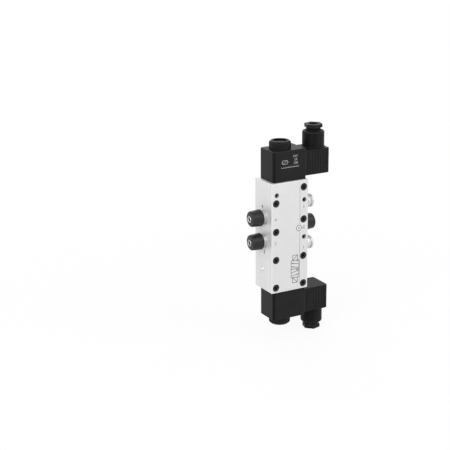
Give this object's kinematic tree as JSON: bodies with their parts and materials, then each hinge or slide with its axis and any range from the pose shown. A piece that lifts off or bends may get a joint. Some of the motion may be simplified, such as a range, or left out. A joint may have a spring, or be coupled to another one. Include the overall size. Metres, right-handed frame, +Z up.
{
  "type": "five-way solenoid valve",
  "caption": "In-line air valve: a silver block with push-in tube fittings and exhaust silencers on its sides, and a pilot coil with plug and cable gland on each end.",
  "frame": {"origin": "centre of the four fixing holes in the block's flat back face", "axes": "+X to the right seen from the front, towards the pressure port; +Y out of the back; +Z up along the spool"},
  "size_m": [0.0693, 0.0266, 0.1754],
  "materials": {
    "aluminium_body": "matt silver, finely blasted",
    "gasket_rubber": "matt black",
    "screw_steel": "black oxide",
    "ball_steel": "polished ball",
    "spool_aluminium": "ground and hard anodised",
    "piston_plastic": "natural moulded",
    "tube_steel": "turned stainless",
    "seat_brass": "turned",
    "spring_steel": "drawn wire",
    "coil_plastic": "moulded black",
    "winding_copper": "enamelled copper wire",
    "nut_plastic": "moulded black",
    "plug_plastic": "moulded black",
    "stem_nickel": "satin nickel plated brass",
    "shell_plastic": "moulded black",
    "collar_metal": "nickel plated brass",
    "silencer_metal": "nickel plated brass",
    "silencer_sinter": "sintered, open pored"
  },
  "bodies": {
    "valve": {"valve_body": "aluminium_body", "front_plate": "aluminium_body", "plate_gasket": "gasket_rubber", "spool_seals": "gasket_rubber", "tube_seals": "gasket_rubber", "fitting_rings": "gasket_rubber", "upper_connector_gasket": "gasket_rubber", "lower_connector_gasket": "gasket_rubber", "upper_cable_grommet": "gasket_rubber", "lower_cable_grommet": "gasket_rubber", "plate_screws": "screw_steel", "pilot_plugs": "screw_steel", "connector_screws": "screw_steel", "channel_ball": "ball_steel", "spacer_sleeve": "spool_aluminium", "port_5_cage": "piston_plastic", "port_4_cage": "piston_plastic", "port_1_cage": "piston_plastic", "port_2_cage": "piston_plastic", "port_3_cage": "piston_plastic", "upper_armature_tube": "tube_steel", "lower_armature_tube": "tube_steel", "upper_pilot_seat": "seat_brass", "lower_pilot_seat": "seat_brass", "upper_coil_blades": "seat_brass", "lower_coil_blades": "seat_brass", "upper_plunger_spring": "spring_steel", "lower_plunger_spring": "spring_steel", "upper_coil_housing": "coil_plastic", "lower_coil_housing": "coil_plastic", "upper_coil_winding": "winding_copper", "lower_coil_winding": "winding_copper", "upper_coil_nut": "nut_plastic", "lower_coil_nut": "nut_plastic", "upper_connector_housing": "plug_plastic", "lower_connector_housing": "plug_plastic", "upper_terminal_insert": "plug_plastic", "lower_terminal_insert": "plug_plastic", "upper_gland_nut": "plug_plastic", "lower_gland_nut": "plug_plastic", "fitting_4_stem": "stem_nickel", "fitting_2_stem": "stem_nickel", "fitting_1_stem": "stem_nickel", "fitting_4_shell": "shell_plastic", "fitting_2_shell": "shell_plastic", "fitting_1_shell": "shell_plastic", "silencer_5_sleeve": "silencer_metal", "silencer_3_sleeve": "silencer_metal", "silencer_5_disc": "silencer_sinter", "silencer_3_disc": "silencer_sinter"},
    "spool": {"spool": "spool_aluminium", "upper_piston": "piston_plastic", "lower_piston": "piston_plastic", "piston_seals": "gasket_rubber"},
    "upper_plunger": {"upper_plunger": "tube_steel"},
    "lower_plunger": {"lower_plunger": "tube_steel"},
    "collar_4": {"fitting_4_collar": "collar_metal"},
    "collar_2": {"fitting_2_collar": "collar_metal"},
    "collar_1": {"fitting_1_collar": "collar_metal"}
  },
  "joints": [
    {"name": "spool_slide", "type": "slide", "parent": "valve", "child": "spool", "axis": [0, 0, 1], "range_m": [0, 0.005]},
    {"name": "upper_plunger_slide", "type": "slide", "parent": "valve", "child": "upper_plunger", "axis": [0, 0, 1], "range_m": [0, 0.0014], "stiffness_N_per_m": 700, "springref_m": -0.002, "deforming": ["upper_plunger_spring"]},
    {"name": "lower_plunger_slide", "type": "slide", "parent": "valve", "child": "lower_plunger", "axis": [0, 0, -1], "range_m": [0, 0.0014], "stiffness_N_per_m": 700, "springref_m": -0.002, "deforming": ["lower_plunger_spring"]},
    {"name": "collar_4_slide", "type": "slide", "parent": "valve", "child": "collar_4", "axis": [1, 0, 0], "range_m": [0, 0.0008], "stiffness_N_per_m": 400, "springref_m": -0.001},
    {"name": "collar_2_slide", "type": "slide", "parent": "valve", "child": "collar_2", "axis": [1, 0, 0], "range_m": [0, 0.0008], "stiffness_N_per_m": 400, "springref_m": -0.001},
    {"name": "collar_1_slide", "type": "slide", "parent": "valve", "child": "collar_1", "axis": [-1, 0, 0], "range_m": [0, 0.0008], "stiffness_N_per_m": 400, "springref_m": -0.001}
  ]
}
